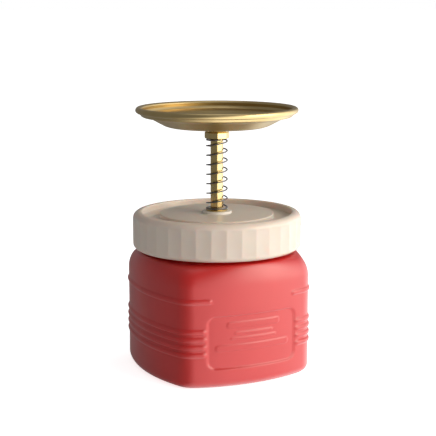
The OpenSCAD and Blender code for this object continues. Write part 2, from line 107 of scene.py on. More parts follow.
def new_piece(name, verts, faces, material, sharp_angle=CRISP_ANGLE):
    """A mesh object at the origin, shaded smooth, with edges sharper than an angle crisp."""
    mesh = bpy.data.meshes.new(name)
    mesh.from_pydata(verts, [], faces)
    mesh.update()
    piece = bpy.data.objects.new(name, mesh)
    bpy.context.scene.collection.objects.link(piece)
    mesh.materials.append(material)
    mesh.shade_smooth()
    mesh.set_sharp_from_angle(angle=math.radians(sharp_angle))
    return piece


def skin_faces(rows, columns, closed_rows=False):
    """Quads between rings of points, outwards when the rings climb the outside."""
    last = rows if closed_rows else rows - 1
    return [(k * columns + i, k * columns + (i + 1) % columns,
             (k + 1) % rows * columns + (i + 1) % columns, (k + 1) % rows * columns + i)
            for k in range(last) for i in range(columns)]


def arc(x, z, r, start, stop, steps):
    """Section points along an arc, with angles in degrees."""
    angles = [math.radians(start + (stop - start) * i / steps) for i in range(steps + 1)]
    return [(x + r * math.cos(a), z + r * math.sin(a)) for a in angles]


def spun(name, section, material, columns=96):
    """A round piece from its closed section, which is read anticlockwise."""
    verts = [(r * math.cos(TURN * i / columns), r * math.sin(TURN * i / columns), z)
             for r, z in section for i in range(columns)]
    return new_piece(name, verts, skin_faces(len(section), columns, True), material)


def size_of(node):
    """Lowest corner, highest corner and half width of a node at rest."""
    low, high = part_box(node)
    return Vector(low), Vector(high), (high[0] - low[0]) / 2


can_low, can_high, can_reach = size_of("can_body")
cap_low, cap_high, cap_radius = size_of("screw_cap")
pan_low, pan_high, pan_radius = size_of("dispensing_pan")
print("can", can_high - can_low, "cap radius", cap_radius, "pan radius", pan_radius)

# %% [markdown]
# ## Camera
# The can is seen a little from its left and a little from above, through a long lens. The
# camera comes first, because everything after it is judged through it.

# %% Camera
CAMERA_TURN = math.radians(-26.4)
CAMERA_DISTANCE = 875.7 * MM
CAMERA_HEIGHT = 263.6 * MM
AIM_HEIGHT = 109.2 * MM
AIM_RIGHT = 0.8 * MM
LENS = 101.13
SENSOR = 36

camera = bpy.data.objects.new("camera", bpy.data.cameras.new("camera"))
bpy.context.scene.collection.objects.link(camera)
camera.data.lens = LENS
camera.data.sensor_width = SENSOR
camera.location = (math.sin(CAMERA_TURN) * CAMERA_DISTANCE,
                   -math.cos(CAMERA_TURN) * CAMERA_DISTANCE, CAMERA_HEIGHT)
aim = Vector((AIM_RIGHT * math.cos(CAMERA_TURN), AIM_RIGHT * math.sin(CAMERA_TURN), AIM_HEIGHT))
camera.rotation_euler = (aim - camera.location).to_track_quat("-Z", "Y").to_euler()
bpy.context.scene.camera = camera
print("camera", [round(c, 3) for c in camera.location])

# %% [markdown]
# ## Polyethylene
# The can is blow-moulded from red polyethylene. The mould gives it a fine pebbled skin with a
# soft sheen, and the plastic lets a little light in under the surface. Handling leaves faint
# dull patches, and the wall sinks a little as it cools. Noise at three real sizes gives the
# skin, the patches and the sinks. A rough clear coat gives the red its broad pale sheen.

# %% Starting a material
def start_material(name):
    """A node material, its tree, its shader and its place on the piece."""
    material = bpy.data.materials.new(name)
    material.use_nodes = True
    tree = material.node_tree
    place = add(tree, "ShaderNodeTexCoord").outputs["Object"]
    return material, tree, tree.nodes["Principled BSDF"], place


# The middle part of a noise, which holds nearly all of its values
NOISE_LOW, NOISE_HIGH = 0.3, 0.7
print("a material's patterns use noise from", NOISE_LOW, "to", NOISE_HIGH)

# %% Red polyethylene
PATCH_MM = 28
# Real pebbling is nearer 0.3 mm; it is drawn coarser so that it shows
PEBBLE_MM = 0.9
SINK_MM = 16
PLASTIC_IOR = 1.53
COAT_ROUGHNESS = 0.36
# Red travels further under the skin than green and blue
SCATTER_COLOUR = (1.0, 0.4, 0.25)


def polyethylene(name, light, dark, roughness, depth_mm, scatter, skin_gloss):
    """Moulded polyethylene: two close colours, a satin skin and light that enters it."""
    material, tree, shader, place = start_material(name)
    patches = add(tree, "ShaderNodeTexNoise",
                  {"Vector": place, "Scale": 1 / (PATCH_MM * MM), "Detail": 3.0})
    pebble = add(tree, "ShaderNodeTexNoise",
                 {"Vector": place, "Scale": 1 / (PEBBLE_MM * MM), "Detail": 2.0})
    sink = add(tree, "ShaderNodeTexNoise",
               {"Vector": place, "Scale": 1 / (SINK_MM * MM), "Detail": 1.0})
    colour = add(tree, "ShaderNodeMix",
                 {"Factor": patches.outputs["Fac"], "A": srgb(light), "B": srgb(dark)},
                 data_type="RGBA")
    gloss = add(tree, "ShaderNodeMapRange",
                {"Value": patches.outputs["Fac"], "From Min": NOISE_LOW, "From Max": NOISE_HIGH,
                 "To Min": roughness - 0.04, "To Max": roughness + 0.05})
    skin = add(tree, "ShaderNodeBump",
               {"Height": pebble.outputs["Fac"], "Strength": 0.12, "Distance": 0.05 * MM})
    wall = add(tree, "ShaderNodeBump",
               {"Height": sink.outputs["Fac"], "Strength": 0.35, "Distance": 0.35 * MM,
                "Normal": skin.outputs["Normal"]})
    tree.links.new(colour.outputs["Result"], shader.inputs["Base Color"])
    tree.links.new(gloss.outputs["Result"], shader.inputs["Roughness"])
    tree.links.new(wall.outputs["Normal"], shader.inputs["Normal"])
    shader.inputs["IOR"].default_value = PLASTIC_IOR
    shader.inputs["Coat Weight"].default_value = skin_gloss
    shader.inputs["Coat Roughness"].default_value = COAT_ROUGHNESS
    shader.inputs["Subsurface Weight"].default_value = scatter
    shader.inputs["Subsurface Radius"].default_value = SCATTER_COLOUR
    shader.inputs["Subsurface Scale"].default_value = depth_mm * MM
    return material


red_polyethylene = polyethylene("blow_moulded_red_polyethylene", "#C4120D", "#B60E0B",
                                0.38, 1.2, 0.02, 0.6)
print("made", red_polyethylene.name)

# %% [markdown]
# ## The can
# The real can is one blown shell, so it is one skin here too: rings of points climb the
# outside, go over the lip and come down the inside. A ring's outline is a bulged square with
# round corners, because blown walls bow outwards a little. Ribs, the sunk panel and the plain
# raised bars on it are small offsets of that outline, which keeps them smooth and part of one
# surface. Modelling them as added blocks would leave seams that a moulding doesn't have.

# %% Sizes of the can
RIB_OUT = 0.9 * MM
HALF = can_reach - RIB_OUT
CORNER_ROUND = 16 * MM
SIDE_BULGE = 125 * MM
WALL = 2 * MM
COLUMNS = 432
BASE_ROUND = 6 * MM
SHOULDER_IN = 14 * MM
SHOULDER_RISE = 15.6 * MM
NECK_RISE = 19.7 * MM
SHOULDER_TOP = can_high.z - NECK_RISE
SIDE_TOP = SHOULDER_TOP - SHOULDER_RISE
NECK_RADIUS = HALF - 7 * MM
NECK_BORE = NECK_RADIUS - 2.5 * MM
SEAT_RADIUS = NECK_RADIUS + 2 * MM
SHOULDER_RADIUS = SEAT_RADIUS + 1 * MM
print("neck radius", round(NECK_RADIUS / MM, 1), "mm, side top", round(SIDE_TOP / MM, 1), "mm")

# %% Sizes of the ribs, the panel and its bars
RIB_HALF = 1.8 * MM
UPPER_RIB = SHOULDER_TOP - 24.3 * MM
UPPER_RIB_END = 31 * MM
PANEL_LOW = 13.5 * MM
PANEL_HIGH = UPPER_RIB - 10 * MM
PANEL_HALF = 35 * MM
PANEL_ROUND = 6.5 * MM
PANEL_DEPTH = 1.0 * MM
PANEL_EDGE = 1.3 * MM
RIB_PITCH = 5.4 * MM
RIB_CLEARANCE = 0.3 * MM
LOW_RIBS = [(PANEL_LOW + PANEL_HIGH) / 2 + (i - 1.5) * RIB_PITCH for i in range(4)]
# Each plain raised bar: height of its middle, half length, half height
BARS = [(44.5 * MM, 21 * MM, 2.3 * MM), (38.6 * MM, 15 * MM, 1.0 * MM),
        (35 * MM, 18 * MM, 1.0 * MM), (28.5 * MM, 29 * MM, 2.5 * MM)]
BAR_OUT = 0.35 * MM
BAR_STEEPNESS = 1.6
print("panel from", PANEL_LOW, "to", PANEL_HIGH, "ribs at", LOW_RIBS)

# %% [markdown]
# The outline is measured as a distance from the axis at each angle. A side is an arc with its
# centre beyond the axis, and the small corner arc meets it where the two have one tangent.

# %% Outline of the can
BULGE_X = HALF - SIDE_BULGE
CORNER_X = (BULGE_X + math.sqrt(2 * (SIDE_BULGE - CORNER_ROUND) ** 2 - BULGE_X ** 2)) / 2
SIDE_HALF = math.atan2(CORNER_X, CORNER_X - BULGE_X)
SIDE_END = math.atan2(SIDE_BULGE * math.sin(SIDE_HALF), BULGE_X + SIDE_BULGE * math.cos(SIDE_HALF))


def outline(angle):
    """Distance from the axis to the can's side at an angle: a bowed side, a round corner."""
    turn = abs(angle - TURN / 4 * round(angle / (TURN / 4)))
    if turn < SIDE_END:
        across = BULGE_X * math.sin(turn)
        return BULGE_X * math.cos(turn) + math.sqrt(SIDE_BULGE ** 2 - across ** 2)
    off = TURN / 8 - turn
    return (CORNER_X * math.sqrt(2) * math.cos(off)
            + math.sqrt(CORNER_ROUND ** 2 - 2 * (CORNER_X * math.sin(off)) ** 2))


def reach(half, angle):
    """The same outline for another half width."""
    return outline(angle) * half / HALF


CORNER_REACH = outline(TURN / 8)
SHOULDER_SPREAD = (CORNER_REACH - SHOULDER_IN - SHOULDER_RADIUS) / (CORNER_REACH - HALF)


def shoulder_reach(angle):
    """The shoulder's top: round over the sides and further out at the corners."""
    return SHOULDER_RADIUS + (outline(angle) - HALF) * SHOULDER_SPREAD


print("corner reach", round(CORNER_REACH / MM, 1), "mm")

# %% [markdown]
# A rib or a bar is a rounded ridge with round ends. Its height at a point depends only on how
# far the point lies from the ridge's middle line, and the panel's edge works in the same way.

# %% Ridges and the panel
def bulge(off, half):
    """Rounded ridge: 1 on its middle line, 0 past its half width."""
    return math.sqrt(max(0.0, 1 - (off / half) ** 2))


def capsule(x, z, end, half):
    """Ridge with round ends that runs sideways to a place on each side of the middle."""
    return bulge(math.hypot(max(0.0, abs(x) - end + half), z), half)


def beyond(x, z, start, half):
    """Ridge with a round end that starts at a place and runs away from the middle."""
    return bulge(math.hypot(max(0.0, start + half - abs(x)), z), half)


def panel_edge_distance(x, z):
    """How far inside the panel's rounded outline a point lies."""
    dx = abs(x) - PANEL_HALF + PANEL_ROUND
    dz = abs(z - (PANEL_LOW + PANEL_HIGH) / 2) - (PANEL_HIGH - PANEL_LOW) / 2 + PANEL_ROUND
    return PANEL_ROUND - math.hypot(max(dx, 0.0), max(dz, 0.0)) - min(max(dx, dz), 0.0)


def skin(x, z):
    """Offset of the can's skin at a sideways place and a height."""
    inside = panel_edge_distance(x, z)
    if inside > 0:
        raised = max(capsule(x, z - middle, end, half) for middle, end, half in BARS)
        sunk = PANEL_DEPTH * smooth(inside / PANEL_EDGE)
        return BAR_OUT * smooth(raised * BAR_STEEPNESS) - sunk
    upper = beyond(x, z - UPPER_RIB, UPPER_RIB_END, RIB_HALF)
    low = max(beyond(x, z - middle, PANEL_HALF + RIB_CLEARANCE, RIB_HALF) for middle in LOW_RIBS)
    return RIB_OUT * max(upper, low)


print("panel floor lies", round(-skin(0, PANEL_LOW + 2 * PANEL_EDGE) / MM, 2), "mm in")


# %% Rings of the can
def level_ring(radius_at, z):
    """One level ring of points from a rule that gives the radius at an angle."""
    angles = [TURN * i / COLUMNS for i in range(COLUMNS)]
    return [(radius_at(a) * math.cos(a), radius_at(a) * math.sin(a), z) for a in angles]


def can_ring(half, z):
    """One level ring of the can's outline."""
    return level_ring(lambda a: reach(half, a), z)


def round_ring(radius, z):
    """One level round ring."""
    return level_ring(lambda a: radius, z)


def skinned_ring(z):
    """One level ring of the side with its ribs and panels."""
    return level_ring(lambda a: reach(HALF + skin(outline(a) * math.cos(a), z), a), z)


def shoulder_ring(inset, a):
    """One ring of the shoulder, set in by the wall: the side at 0, the top at a right angle."""
    side, top = math.cos(a), 1 - math.cos(a)
    return level_ring(
        lambda b: reach(HALF - inset, b) * side + (shoulder_reach(b) - inset) * top,
        SIDE_TOP + (SHOULDER_RISE - inset) * math.sin(a))


print("a ring has", COLUMNS, "points")

# %% [markdown]
# ## The thread
# The neck and the cap share one coarse thread, a little more than one turn long. It is a
# ridge that climbs by its pitch in each turn and tapers away at its two ends.

# %% Thread
THREAD_PITCH = 6 * MM
THREAD_TURNS = 1.25
THREAD_DEPTH = 1.8 * MM
THREAD_HALF = 1.7 * MM
THREAD_START = can_high.z - 11.5 * MM
THREAD_TAPER = 0.06
# The share of a ridge's half width that is its sloping flank
THREAD_FLANK = 0.7


def on_thread(angle, z, start):
    """How much of the ridge stands at an angle and a height, 0 to 1."""
    best = 0.0
    for turn in (0, 1):
        along = turn + angle / TURN
        if along <= THREAD_TURNS:
            off = abs(z - start - along * THREAD_PITCH)
            taper = smooth(min(along, THREAD_TURNS - along) / THREAD_TAPER)
            flank = (THREAD_HALF - off) / (THREAD_FLANK * THREAD_HALF)
            best = max(best, taper * max(0.0, min(1.0, flank)))
    return best


def neck_ring(z):
    """One ring of the neck with its thread."""
    return level_ring(lambda a: NECK_RADIUS + THREAD_DEPTH * on_thread(a, z, THREAD_START), z)


print("thread of", THREAD_TURNS, "turns, pitch", round(THREAD_PITCH / MM, 1), "mm")

# %% [markdown]
# ## The blown shell
# The rings are close together where there is detail and far apart where the wall is plain, so
# the piece stays light. The base has a shallow dish in it, as blown cans have, so that it
# stands on its outer ring.

# %% Rings of the shell
ROW = 0.5 * MM
LIP_ROUND = 0.6 * MM
QUARTER = [math.pi / 2 * i / 16 for i in range(17)]
# How far each ring of the dish lies inside the base's round edge, and its height
BASE_DISH = ((40 * MM, 0.9 * MM), (12 * MM, 0.9 * MM), (7 * MM, 0.8 * MM), (5 * MM, 0.3 * MM),
             (4 * MM, 0))


def row_heights(start, stop):
    """Heights one row apart."""
    heights = []
    z = start
    while z < stop:
        heights.append(z)
        z += ROW
    return heights


def outside_rings():
    """The base, the side, the shoulder, the threaded neck and the lip, from the bottom up."""
    rings = [can_ring(HALF - BASE_ROUND - inset, z) for inset, z in BASE_DISH]
    rings += [can_ring(HALF - BASE_ROUND * (1 - math.sin(a)), BASE_ROUND * (1 - math.cos(a)))
              for a in QUARTER]
    rings += [skinned_ring(z) for z in row_heights(BASE_ROUND + 3 * MM,
                                                   UPPER_RIB + RIB_HALF + 1 * MM)]
    rings += [shoulder_ring(0.0, a) for a in QUARTER]
    rings += [round_ring(SEAT_RADIUS, SHOULDER_TOP + 0.3 * MM),
              round_ring(NECK_RADIUS + 0.6 * MM, SHOULDER_TOP + 0.7 * MM),
              round_ring(NECK_RADIUS, SHOULDER_TOP + 1.5 * MM)]
    rings += [neck_ring(z) for z in row_heights(THREAD_START - THREAD_HALF - 0.5 * MM,
                                                can_high.z - 1 * MM)]
    return rings + [round_ring(NECK_RADIUS - (1 - math.cos(a)) * LIP_ROUND,
                               can_high.z - (1 - math.sin(a)) * LIP_ROUND) for a in QUARTER[::4]]


def inside_rings():
    """The bore, the inside of the shoulder and the inside of the base, from the top down."""
    corner = BASE_ROUND - WALL
    rings = [round_ring(NECK_BORE, can_high.z), round_ring(NECK_BORE, SHOULDER_TOP - 1 * MM)]
    rings += [shoulder_ring(WALL, a) for a in reversed(QUARTER[::2])]
    return rings + [can_ring(HALF - WALL - corner * (1 - math.sin(a)),
                             WALL + corner * (1 - math.cos(a))) for a in reversed(QUARTER[::4])]


print("base dish of", len(BASE_DISH), "rings, rows", round(ROW / MM, 1), "mm apart")


# %% The blown can
def blown_can():
    """The can's closed shell, outside and inside."""
    rings = outside_rings() + inside_rings()
    verts = [point for ring in rings for point in ring]
    faces = skin_faces(len(rings), COLUMNS)
    faces.append(tuple(reversed(range(COLUMNS))))
    faces.append(tuple(range(len(verts) - COLUMNS, len(verts))))
    return new_piece("blown_can", verts, faces, red_polyethylene, 50)


can = blown_can()
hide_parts("can_body")
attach(can, "can")
print("can:", len(can.data.polygons), "faces")

# %% [markdown]
# ## The screw cap
# The cap is moulded in uncoloured polyethylene, which is cream and slightly cloudy, so light
# goes much further into it than into the red can, and it has no coat. Round its skirt are
# broad shallow flutes for grip, with a narrow upright ridge between them, which fade out
# before the smooth top and bottom bands. One section spun round the axis makes it, and the
# flutes change the radius as it turns.

# %% Cream polyethylene
cream_polyethylene = polyethylene("moulded_natural_polyethylene", "#DCD0C4", "#D0C3B6",
                                  0.34, 6.0, 0.5, 0.0)
print("made", cream_polyethylene.name)

# %% The cap's section
CAP_WALL = 6.2 * MM
TOP_ROUND = 5 * MM
LOW_ROUND = 4 * MM
SKIRT_ROWS = 26
THREAD_ROWS = 30
CAP_BORE = cap_radius - CAP_WALL
WEB_TOP = cap_high.z - 4.7 * MM
WEB_LOW = WEB_TOP - 2.7 * MM
DISC_TOP = WEB_TOP + 3.2 * MM
DISC_LOW = DISC_TOP - 3.2 * MM
DISC_RADIUS = 41 * MM
DISC_WALL = 2.5 * MM
RIM_INSIDE = cap_radius - 6.8 * MM
BUSH_BORE = 7 * MM


def cap_section():
    """Section of the cap, anticlockwise from the bore's lower edge."""
    low, high = cap_low.z + LOW_ROUND, cap_high.z - TOP_ROUND
    skirt = [(cap_radius, low + (high - low) * (i + 1) / (SKIRT_ROWS + 1))
             for i in range(SKIRT_ROWS)]
    inside = [(CAP_BORE, WEB_LOW - (WEB_LOW - cap_low.z) * i / THREAD_ROWS)
              for i in range(THREAD_ROWS + 1)]
    under = [(BUSH_BORE, DISC_LOW), (DISC_RADIUS - DISC_WALL, DISC_LOW),
             (DISC_RADIUS - DISC_WALL, WEB_LOW)]
    return (under + inside
            + arc(cap_radius - LOW_ROUND, low, LOW_ROUND, -90, 0, 10) + skirt
            + arc(cap_radius - TOP_ROUND, high, TOP_ROUND, 0, 90, 12)
            + arc(RIM_INSIDE + 1 * MM, cap_high.z - 1 * MM, 1 * MM, 90, 180, 5)
            + arc(RIM_INSIDE - 0.8 * MM, WEB_TOP + 0.8 * MM, 0.8 * MM, 0, -90, 4)
            + arc(DISC_RADIUS + 0.5 * MM, WEB_TOP + 0.5 * MM, 0.5 * MM, -90, -180, 3)
            + arc(DISC_RADIUS - 0.7 * MM, DISC_TOP - 0.7 * MM, 0.7 * MM, 0, 90, 4)
            + [(BUSH_BORE, DISC_TOP)])


print("cap section of", len(cap_section()), "points")

# %% Grip and thread of the cap
FLUTES = 36
FLUTE_DEPTH = 0.42 * MM
CAP_COLUMNS = FLUTES * 14
# The smooth band under and over the flutes, and the height over which a flute fades in
LOW_BAND, LOW_FADE = 2.4 * MM, 1.6 * MM
TOP_BAND, TOP_FADE = 3.0 * MM, 2.2 * MM
CAP_THREAD_START = THREAD_START - 2.7 * MM


def flute(angle, r, z):
    """How far the grip's flutes cut in at an angle of the skirt."""
    if r < cap_radius - 1 * MM:
        return 0.0
    across = 2 * ((angle / TURN * FLUTES) % 1) - 1
    fade = (smooth((z - cap_low.z - LOW_BAND) / LOW_FADE)
            * smooth((cap_high.z - TOP_BAND - z) / TOP_FADE))
    return FLUTE_DEPTH * (1 - across ** 2) * fade


def screw_cap():
    """The cap, with its grip outside and its thread inside."""
    section = cap_section()
    verts = []
    for r, z in section:
        inner_wall = abs(r - CAP_BORE) < 0.01 * MM
        for i in range(CAP_COLUMNS):
            angle = TURN * i / CAP_COLUMNS
            here = r - flute(angle, r, z)
            if inner_wall:
                here -= THREAD_DEPTH * on_thread(angle, z, CAP_THREAD_START)
            verts.append((here * math.cos(angle), here * math.sin(angle), z))
    faces = skin_faces(len(section), CAP_COLUMNS, True)
    return new_piece("moulded_cap", verts, faces, cream_polyethylene, 35)


cap = screw_cap()
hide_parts("screw_cap")
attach(cap, "cap_and_pump")
print("cap:", len(cap.data.polygons), "faces")

# %% [markdown]
# ## Brass
# Brass is a yellow metal, and its colour is all in its reflections. How it was worked shows
# as fine lines: the pan was spun on a lathe, so its lines run round it, and the stem was drawn
# through a die, so its lines run along it. Handling dulls it in soft brown patches.

# %% Brass
TARNISH_MM = 18
# The pan's lines are set by radius, and a little by height so that the cone has them too
LINE_HEIGHT_SHARE = 0.7
# Lines along a bar are this much shorter in height than the noise across it, so they look long
LINE_STRETCH = 0.02


def line_place(tree, place, lines):
    """Where a working line lies: by radius on spun brass, across the bar on drawn brass."""
    split = add(tree, "ShaderNodeSeparateXYZ", {"Vector": place}).outputs
    if lines == "round":
        flat = add(tree, "ShaderNodeCombineXYZ", {"X": split["X"], "Y": split["Y"]})
        radius = add(tree, "ShaderNodeVectorMath", {0: flat.outputs["Vector"]},
                     operation="LENGTH")
        height = add(tree, "ShaderNodeMath", {0: split["Z"], 1: LINE_HEIGHT_SHARE},
                     operation="MULTIPLY")
        parts = {"X": radius.outputs["Value"], "Y": height.outputs["Value"]}
    else:
        low = add(tree, "ShaderNodeMath", {0: split["Z"], 1: LINE_STRETCH},
                  operation="MULTIPLY")
        parts = {"X": split["X"], "Y": split["Y"], "Z": low.outputs["Value"]}
    return add(tree, "ShaderNodeCombineXYZ", parts).outputs["Vector"]


def brass(name, bright, dull, roughness, lines, line_mm, strength):
    """Brass whose working lines run round or along."""
    material, tree, shader, place = start_material(name)
    tarnish = add(tree, "ShaderNodeTexNoise",
                  {"Vector": place, "Scale": 1 / (TARNISH_MM * MM), "Detail": 4.0})
    colour = add(tree, "ShaderNodeMix",
                 {"Factor": tarnish.outputs["Fac"], "A": srgb(bright), "B": srgb(dull)},
                 data_type="RGBA")
    gloss = add(tree, "ShaderNodeMapRange",
                {"Value": tarnish.outputs["Fac"], "From Min": NOISE_LOW, "From Max": NOISE_HIGH,
                 "To Min": roughness - 0.05, "To Max": roughness + 0.07})
    grooves = add(tree, "ShaderNodeTexNoise",
                  {"Vector": line_place(tree, place, lines), "Scale": 1 / (line_mm * MM),
                   "Detail": 3.0})
    bump = add(tree, "ShaderNodeBump",
               {"Height": grooves.outputs["Fac"], "Strength": strength, "Distance": 0.05 * MM})
    tree.links.new(colour.outputs["Result"], shader.inputs["Base Color"])
    tree.links.new(gloss.outputs["Result"], shader.inputs["Roughness"])
    tree.links.new(bump.outputs["Normal"], shader.inputs["Normal"])
    shader.inputs["Metallic"].default_value = 1.0
    return material


# Real lines are 0.1 to 0.2 mm apart; they are drawn coarser so that they show
spun_brass = brass("spun_sheet_brass", "#CDB888", "#B79D68", 0.33, "round", 0.7, 0.12)
drawn_brass = brass("drawn_bar_brass", "#D6C08A", "#BFA568", 0.24, "along", 0.5, 0.1)
print("made", spun_brass.name, "and", drawn_brass.name)

# %% [markdown]
# ## The dispensing pan
# The pan is one disc of sheet brass spun over a former: a nearly flat floor, a cone, a small
# step and a rolled bead that stiffens the rim. The same section is spun here, with a real
# radius at each bend, because sheet metal never has a sharp fold.

# %% The pan's section
SHEET = 1.0 * MM
BEAD = 2.2 * MM
BEND = 2.5 * MM
# The middle hole of the pan, its nut and its collar
STEM_HOLE = 4.05 * MM
FLOOR_RADIUS = 37.8 * MM
STEP_RADIUS = 48.8 * MM


def blend_path(points, radius, steps=5):
    """Round the inner corners of a section's path with short curves."""
    path = [points[0]]
    for before, corner, after in zip(points, points[1:], points[2:]):
        c = Vector(corner)
        inward, outward = Vector(before) - c, Vector(after) - c
        cut = min(radius, inward.length * 0.45, outward.length * 0.45)
        start, stop = c + inward.normalized() * cut, c + outward.normalized() * cut
        shares = [t / steps for t in range(steps + 1)]
        path += [tuple(start.lerp(c, t).lerp(c.lerp(stop, t), t)) for t in shares]
    return path + [points[-1]]


def offset_path(path, distance):
    """The same path moved sideways, to its left."""
    moved = []
    for i, point in enumerate(path):
        along = Vector(path[min(i + 1, len(path) - 1)]) - Vector(path[max(i - 1, 0)])
        side = Vector((-along.y, along.x)).normalized()
        moved.append(tuple(Vector(point) + side * distance))
    return moved


print("sheet", round(SHEET / MM, 1), "mm thick, bends of", round(BEND / MM, 1), "mm")


# %% The pan
def dispensing_pan():
    """The spun pan with its rolled bead."""
    z = pan_low.z
    bead_x, bead_z = pan_radius - BEAD, pan_high.z - BEAD
    under = blend_path([(STEM_HOLE, z), (12 * MM, z), (FLOOR_RADIUS - 3.4 * MM, z + 1.4 * MM),
                        (FLOOR_RADIUS, z + 2.4 * MM), (STEP_RADIUS, z + 8.3 * MM),
                        (bead_x - BEAD, z + 8.9 * MM), (bead_x - 0.5 * MM, z + 11.4 * MM)], BEND)
    top = offset_path(under, SHEET)
    bead = arc(bead_x, bead_z, BEAD, -105, 165, 22)
    return spun("spun_pan", under + bead + list(reversed(top)), spun_brass, 192)


pan = dispensing_pan()
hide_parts("dispensing_pan")
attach(pan, "plunger")
print("pan:", len(pan.data.polygons), "faces")

# %% [markdown]
# ## The nut above the spring
# The nut is cut from eight-sided bar. A real machined edge is never perfectly sharp: a small
# bevel catches the light, so the nut gets one from a Bevel modifier.

# %% Machined nut
BORE_STEPS = 6


def ring_of(sides, across, z):
    """Corner points of a regular outline from its width across flats."""
    r = across / 2 / math.cos(math.pi / sides)
    return [(r * math.cos(TURN * (i + 0.5) / sides), r * math.sin(TURN * (i + 0.5) / sides), z)
            for i in range(sides)]


def bore_points(sides, bore, z):
    """A round ring with a few points for each side of the outline round it."""
    count = sides * BORE_STEPS
    angles = [TURN * (i / count + 0.5 / sides) for i in range(count)]
    return [(bore * math.cos(a), bore * math.sin(a), z) for a in angles]


def machined_nut(name, sections, bore, material, bevel):
    """A solid through stacked outlines with a round bore through it, its edges bevelled."""
    sides = len(sections[0])
    verts = [point for ring in sections for point in ring]
    faces = skin_faces(len(sections), sides)
    count, start, last = sides * BORE_STEPS, len(verts), (len(sections) - 1) * sides
    for z in (sections[0][0][2], sections[-1][0][2]):
        verts += bore_points(sides, bore, z)
    for i in range(count):
        j = (i + 1) % count
        faces.append((start + i, start + count + i, start + count + j, start + j))
    for i in range(sides):
        j = (i + 1) % sides
        arc_low = [start + (i * BORE_STEPS + k) % count for k in range(BORE_STEPS + 1)]
        arc_top = [index + count for index in arc_low]
        faces.append(tuple([j, i] + arc_low))
        faces.append(tuple([last + i, last + j] + list(reversed(arc_top))))
    piece = new_piece(name, verts, faces, material, 20)
    edge = piece.modifiers.new("edge", "BEVEL")
    edge.width = bevel
    edge.segments = 2
    edge.limit_method = "ANGLE"
    edge.angle_limit = math.radians(30)
    edge.harden_normals = True
    return piece


# %% The nut
nut_low, nut_high, nut_half = size_of("pan_nut")
CHAMFER = 0.9 * MM
CHAMFER_RISE = 0.5 * MM
nut = machined_nut("stem_nut", [
    ring_of(8, 2 * nut_half - 2 * CHAMFER, nut_low.z),
    ring_of(8, 2 * nut_half, nut_low.z + CHAMFER_RISE),
    ring_of(8, 2 * nut_half, nut_high.z - CHAMFER_RISE),
    ring_of(8, 2 * nut_half - CHAMFER, nut_high.z)], STEM_HOLE, drawn_brass, 0.15 * MM)
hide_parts("pan_nut")
print("nut width", round(2 * nut_half / MM, 1), "mm")

# %% [markdown]
# ## Stem and collar
# The stem is drawn eight-sided bar, whose sides let the guide bush stop it turning. It has
# round turned ends and a bore for the liquid. Rings that go up the outside and down the bore
# make it, all with as many points, so an eight-sided ring can follow a round one.

# %% Rings of a bar
BAR_COLUMNS = 96
# A sharp corner stands 1.082 times as far out as a flat; a drawn one is slightly broken
CORNER_LIMIT = 1.068


def bar_ring(across, z):
    """A level ring of points round an eight-sided bar, its corners slightly broken."""
    ring = []
    for i in range(BAR_COLUMNS):
        angle = TURN * i / BAR_COLUMNS
        turn = angle - TURN / 8 * round(angle / (TURN / 8))
        r = min(across / 2 / math.cos(turn), across / 2 * CORNER_LIMIT)
        ring.append((r * math.cos(angle), r * math.sin(angle), z))
    return ring


def turned_ring(r, z):
    """A level round ring with as many points as the bar's."""
    return [(r * math.cos(TURN * i / BAR_COLUMNS), r * math.sin(TURN * i / BAR_COLUMNS), z)
            for i in range(BAR_COLUMNS)]


def through_rings(name, rings, material):
    """A closed piece whose rings go up the outside and down the bore."""
    verts = [point for ring in rings for point in ring]
    return new_piece(name, verts, skin_faces(len(rings), BAR_COLUMNS, True), material, 25)


print("a bar's ring has", BAR_COLUMNS, "points")

# %% The stem
STEM_ACROSS = 8.6 * MM
PLAIN = 4 * MM
LIQUID_BORE = 2 * MM
BALL_CHAMBER = 2.75 * MM
TIP = 0.4 * MM
stem_low, stem_high, _ = size_of("pump_stem")
_, piston_high, _ = size_of("piston_plate")
pin_low, pin_high, _ = size_of("stem_ball_pin")
chamber_top = (pin_low.z + pin_high.z) / 2 + 1.2 * MM
shank_low = piston_high.z + 0.05 * MM
shank_high = nut_low.z - 0.02 * MM
bar = through_rings("eight_sided_bar", [
    turned_ring(PLAIN, stem_low.z), turned_ring(PLAIN, shank_low),
    bar_ring(STEM_ACROSS - 0.6 * MM, shank_low), bar_ring(STEM_ACROSS, shank_low + 0.3 * MM),
    bar_ring(STEM_ACROSS, shank_high), turned_ring(PLAIN, shank_high),
    turned_ring(PLAIN, stem_high.z - TIP), turned_ring(PLAIN - TIP, stem_high.z),
    turned_ring(LIQUID_BORE, stem_high.z), turned_ring(LIQUID_BORE, chamber_top),
    turned_ring(BALL_CHAMBER, chamber_top), turned_ring(BALL_CHAMBER, stem_low.z)], drawn_brass)
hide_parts("pump_stem")
print("stem", round((stem_high.z - stem_low.z) / MM, 1), "mm long")

# %% The collar
collar_low, collar_high, collar_half = size_of("pan_collar")
COLLAR_ROUND = 0.4 * MM
COLLAR_EDGE = 0.1 * MM
collar = spun("cone_collar",
              [(STEM_HOLE, collar_low.z), (nut_half - COLLAR_EDGE, collar_low.z),
               (nut_half + COLLAR_EDGE, collar_low.z + COLLAR_EDGE)]
              + arc(collar_half - COLLAR_ROUND, collar_high.z - COLLAR_ROUND, COLLAR_ROUND,
                    -40, 0, 3)
              + [(collar_half, collar_high.z), (STEM_HOLE, collar_high.z)], drawn_brass)
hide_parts("pan_collar")
for piece in (nut, bar, collar):
    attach(piece, "plunger")
print("collar", round(2 * collar_half / MM, 1), "mm across")

# %% [markdown]
# ## The bush that guides the stem
# A flanged brass bush clamps through the cap, with a white washer under its flange. Its
# flange is also the spring's lower seat, and its bore is eight-sided like the stem.

